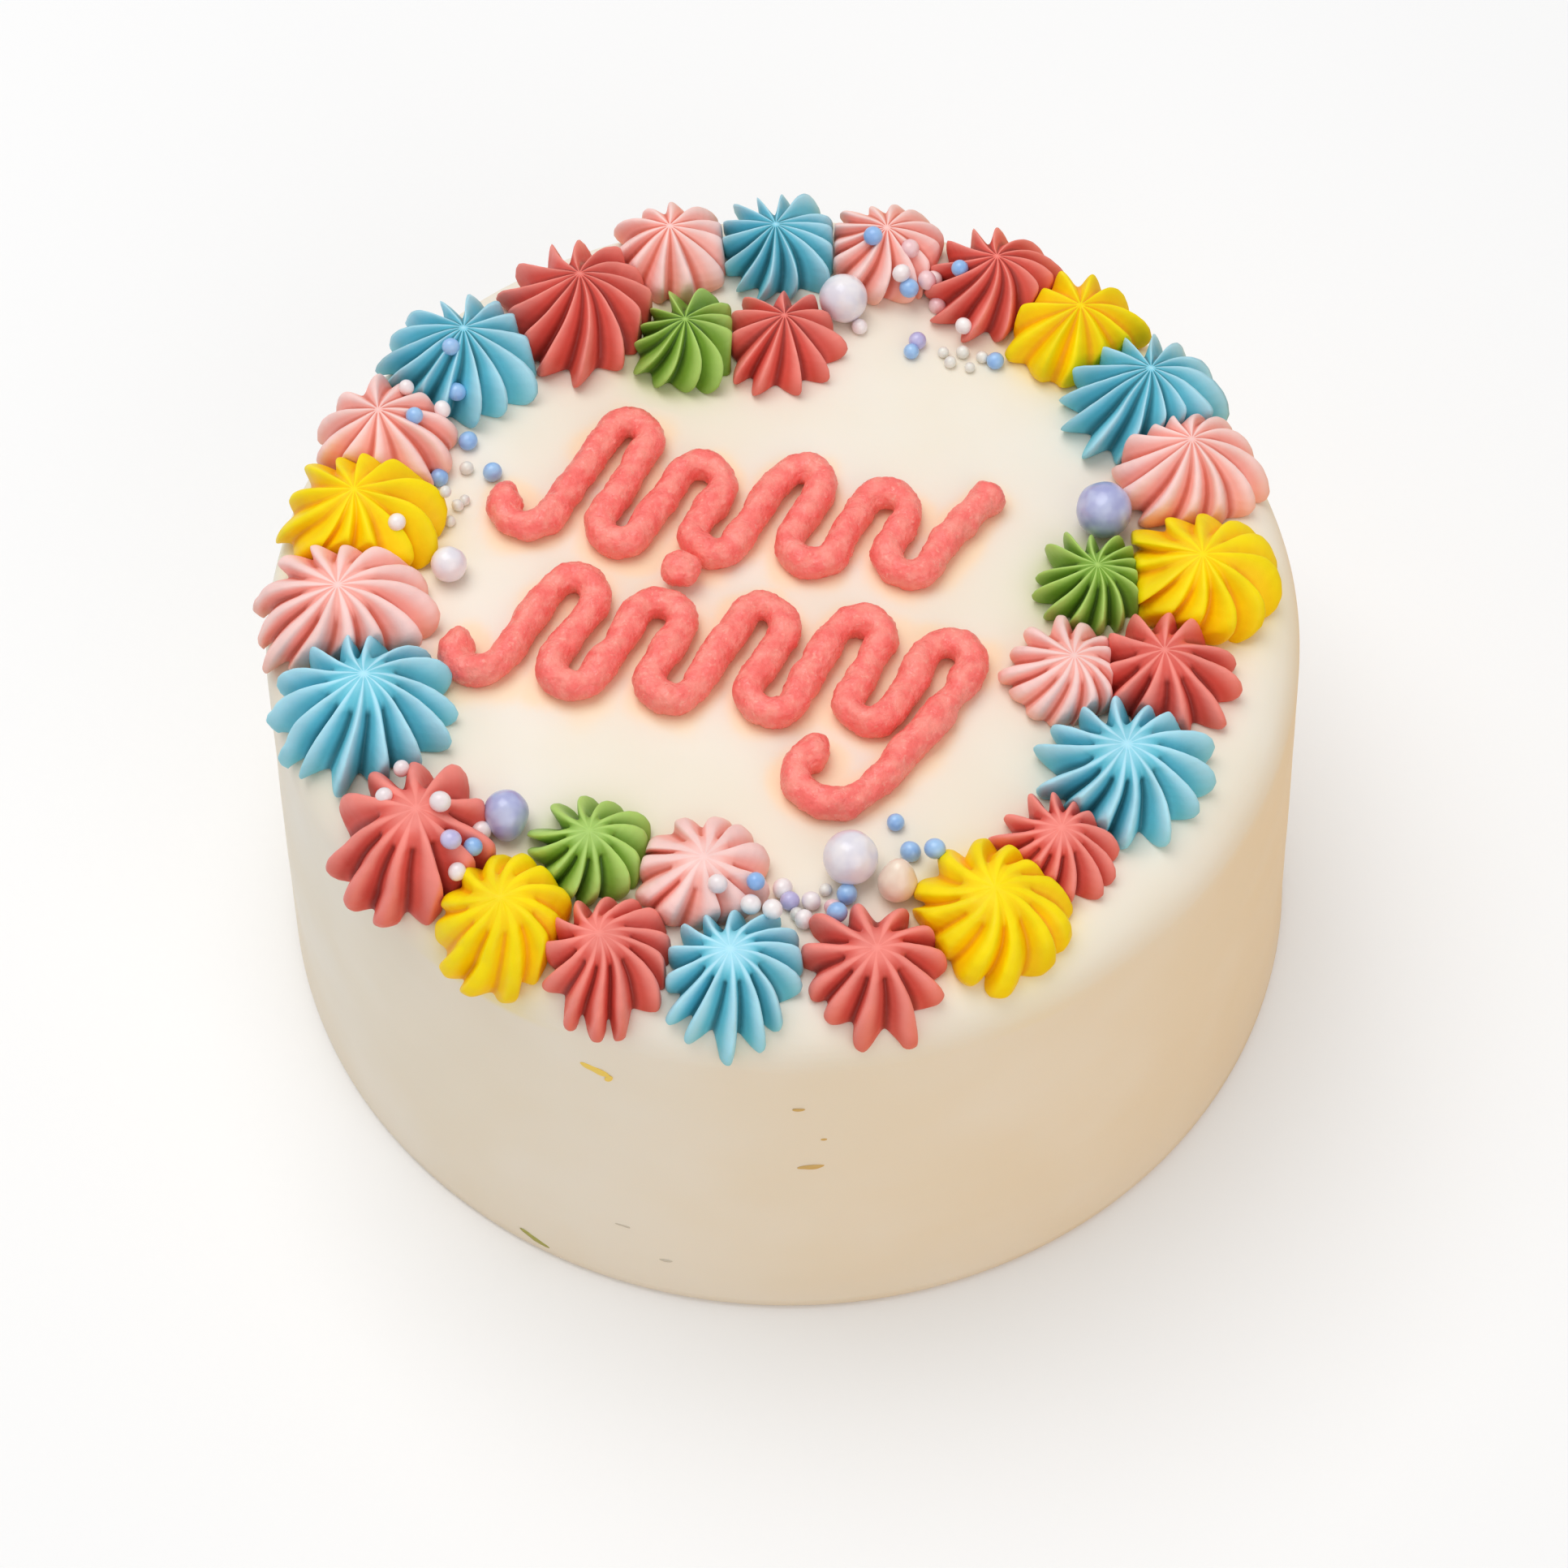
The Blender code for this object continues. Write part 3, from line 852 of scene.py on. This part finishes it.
def make_pearl(index, entry, material):
    """One sugar pearl, a little out of round, with a dimple where it dried."""
    node, slot, x, y, radius = entry
    z = TOP + radius * 0.95
    bpy.ops.object.select_all(action="DESELECT")
    bpy.ops.mesh.primitive_uv_sphere_add(segments=48, ring_count=32, radius=radius, location=(x, y, z))
    piece = added("sugar_" + node)
    bpy.ops.object.transform_apply(location=True, rotation=True, scale=True)
    places = vertices_of(piece)
    middle = np.array((x, y, z))
    outward = (places - middle) / radius
    dice = np.random.default_rng(40 + index)
    dimple = dice.normal(size=3) + np.array((0.0, -0.3, 0.8))
    dimple = dimple / np.linalg.norm(dimple)
    close = np.clip((outward @ dimple - 0.90) / 0.10, 0.0, 1.0)
    bumps = np.array([noise.noise(Vector(o) * 1.6 + Vector((index * 3.0, 0.0, 0.0))) for o in outward])
    tip = np.array(TEARDROPS.get(node, (0.0, 0.0, 0.0)))
    drawn = 0.34 * np.clip(outward @ tip, 0.0, 1.0) ** 5
    scale = 1.0 + 0.035 * bumps - 0.045 * close**2 + drawn
    place_vertices(piece, middle + outward * radius * scale[:, None])
    smooth(piece)
    return finish_piece(piece, material, slot, node)


def surface_under(start, direction):
    """Where a straight line from a point first meets the cake, and which way the surface faces there."""
    depsgraph = bpy.context.evaluated_depsgraph_get()
    _, place, normal, _, _, _ = bpy.context.scene.ray_cast(depsgraph, start, direction)
    return place, normal


def make_sprinkles(kind):
    """The tiny pearls of one colour as one piece, each resting where it fell."""
    slot, colour, shade = SPRINKLE_LOOKS[kind]
    dice = np.random.default_rng(len(kind))
    rests = []
    for x, y in SPRINKLES[kind]:
        place, normal = surface_under(Vector((x * MM, y * MM, 2.0 * TOP)), Vector((0.0, 0.0, -1.0)))
        radius = SPRINKLE_RADIUS * dice.uniform(0.86, 1.08) * (0.7 if kind == "clear" else 1.0)
        rests.append((place + normal * radius * 0.75, radius))
    beads = []
    for place, radius in rests:
        bpy.ops.object.select_all(action="DESELECT")
        bpy.ops.mesh.primitive_ico_sphere_add(subdivisions=4, radius=radius, location=place)
        bead = added("bead")
        bead.scale = dice.uniform(0.92, 1.06, 3)
        bead.rotation_euler = dice.uniform(0.0, tau, 3)
        beads.append(bead)
    for bead in beads:
        bead.select_set(True)
    bpy.ops.object.join()
    piece = added("sprinkles_" + kind)
    bpy.ops.object.transform_apply(location=True, rotation=True, scale=True)
    smooth(piece)
    return finish_piece(piece, pearl_material("sprinkle_" + kind, colour, shade), slot)


def make_flecks(kind):
    """The smears or crumbs of one colour as one piece, pressed on the wall."""
    slot, colour = FLECK_LOOKS[kind]
    flecks = []
    for around, height, length, width, tilt in WALL_FLECKS[kind]:
        turn = radians(around)
        outward = Vector((cos(turn), sin(turn), 0.0))
        start = outward * 0.2 + Vector((0.0, 0.0, height * MM))
        place, _ = surface_under(start, -outward)
        bpy.ops.object.select_all(action="DESELECT")
        bpy.ops.mesh.primitive_ico_sphere_add(subdivisions=4, radius=1.0, location=place)
        fleck = added("fleck")
        fleck.scale = (length * MM, 0.22 * MM, width * MM)
        fleck.rotation_euler = (0.0, radians(tilt), turn + 0.5 * pi)
        flecks.append(fleck)
    for fleck in flecks:
        fleck.select_set(True)
    bpy.ops.object.join()
    piece = added("wall_flecks_" + kind)
    bpy.ops.object.transform_apply(location=True, rotation=True, scale=True)
    place_vertices(piece, unevenness(vertices_of(piece), 0.22 * MM, 500.0, len(kind)))
    smooth(piece)
    made, _, shader = new_material("wall_fleck_" + kind)
    shader.inputs["Base Color"].default_value = (*colour, 1.0)
    shader.inputs["Roughness"].default_value = 0.5
    return finish_piece(piece, made, slot)


# ---------------------------------------------------------------- stage

def make_floor():
    """A plain pale floor: white to the eye, and warm in the light that it throws back."""
    bpy.ops.object.select_all(action="DESELECT")
    bpy.ops.mesh.primitive_plane_add(size=8.0, location=(0.0, 0.0, -0.0002))
    floor = added("floor")
    made = bpy.data.materials.new("pale_floor")
    made.use_nodes = True
    tree = made.node_tree
    tree.nodes.clear()
    seen = tree.nodes.new("ShaderNodeBsdfDiffuse")
    seen.inputs["Color"].default_value = (1.0, 1.0, 1.0, 1.0)
    bounced = tree.nodes.new("ShaderNodeBsdfDiffuse")
    spot = tree.nodes.new("ShaderNodeTexCoord")
    split = tree.nodes.new("ShaderNodeSeparateXYZ")
    wire(tree, spot.outputs["Object"], split.inputs["Vector"])
    warm = ramp(tree, split.outputs["X"], -0.16, 0.10)
    colour = mixed(tree, warm, (0.88, 0.89, 0.90), (0.88, 0.60, 0.31))
    wire(tree, colour, bounced.inputs["Color"])
    path = tree.nodes.new("ShaderNodeLightPath")
    mix = tree.nodes.new("ShaderNodeMixShader")
    end = tree.nodes.new("ShaderNodeOutputMaterial")
    wire(tree, path.outputs["Is Camera Ray"], mix.inputs["Fac"])
    wire(tree, bounced.outputs["BSDF"], mix.inputs[1])
    wire(tree, seen.outputs["BSDF"], mix.inputs[2])
    wire(tree, mix.outputs["Shader"], end.inputs["Surface"])
    floor.data.materials.append(made)


def make_world():
    """White to the camera and in reflections, and soft even light for everything else."""
    world = bpy.data.worlds.new("studio")
    bpy.context.scene.world = world
    world.use_nodes = True
    tree = world.node_tree
    tree.nodes.clear()
    path = tree.nodes.new("ShaderNodeLightPath")
    shown = math_node(tree, "MAXIMUM", path.outputs["Is Camera Ray"], path.outputs["Is Glossy Ray"])
    shown = math_node(tree, "MAXIMUM", shown, path.outputs["Is Transmission Ray"])
    light = tree.nodes.new("ShaderNodeBackground")
    light.inputs["Strength"].default_value = 0.55
    white = tree.nodes.new("ShaderNodeBackground")
    white.inputs["Strength"].default_value = 1.0
    mix = tree.nodes.new("ShaderNodeMixShader")
    end = tree.nodes.new("ShaderNodeOutputWorld")
    for node in (light, white):
        node.inputs["Color"].default_value = (1.0, 1.0, 1.0, 1.0)
    wire(tree, shown, mix.inputs["Fac"])
    wire(tree, light.outputs["Background"], mix.inputs[1])
    wire(tree, white.outputs["Background"], mix.inputs[2])
    wire(tree, mix.outputs["Shader"], end.inputs["Surface"])


def add_lamp(name, place, target, size, power):
    """A square soft lamp that faces a point."""
    data = bpy.data.lights.new(name, "AREA")
    data.shape = "SQUARE"
    data.size = size
    data.energy = power
    lamp = bpy.data.objects.new(name, data)
    lamp.location = place
    lamp.rotation_euler = (Vector(target) - Vector(place)).to_track_quat("-Z", "Y").to_euler()
    bpy.context.scene.collection.objects.link(lamp)


def make_camera():
    """A camera in front of the cake, looking down at it."""
    elevation = radians(56.8)
    distance = 0.551
    target = Vector((-0.8 * MM, 0.0, 21.8 * MM))
    place = target + distance * Vector((0.0, -cos(elevation), sin(elevation)))
    data = bpy.data.cameras.new("camera")
    data.lens = 78.3
    data.sensor_width = 36.0
    camera = bpy.data.objects.new("camera", data)
    camera.location = place
    camera.rotation_euler = (target - place).to_track_quat("-Z", "Y").to_euler()
    bpy.context.scene.collection.objects.link(camera)
    bpy.context.scene.camera = camera


def main():
    """Build every piece and light it."""
    bpy.context.scene.view_settings.view_transform = "Standard"
    coral = coral_material()
    upper = upper_row()
    lower = lower_row()
    make_body(cream_material(), (upper, lower))
    make_rosettes(piped_icing_group())
    make_flourish("piped_upper", upper, coral, "flourish_upper", 1.0)
    make_flourish("piped_lower", lower, coral, "flourish_lower", 2.0)
    make_dot(coral)
    pearl_colours = {
        "pearl_white": pearl_material("pearl_white", linear(242, 236, 238), linear(226, 222, 232)),
        "pearl_lavender": pearl_material("pearl_lavender", linear(190, 196, 230), linear(160, 164, 212)),
        "pearl_peach": pearl_material("pearl_peach", linear(246, 228, 208), linear(238, 212, 190)),
    }
    for index, entry in enumerate(packed_pearls()):
        make_pearl(index, entry, pearl_colours[entry[1]])
    bpy.context.view_layer.update()
    for kind in SPRINKLES:
        make_sprinkles(kind)
    for kind in WALL_FLECKS:
        make_flecks(kind)
    make_floor()
    make_world()
    add_lamp("overhead", (-0.25, 0.25, 1.1), (0.0, 0.0, 0.05), 0.8, 5.6)
    add_lamp("front_fill", (0.5, -1.0, 0.7), (0.0, 0.0, 0.04), 1.0, 3.0)
    make_camera()


main()
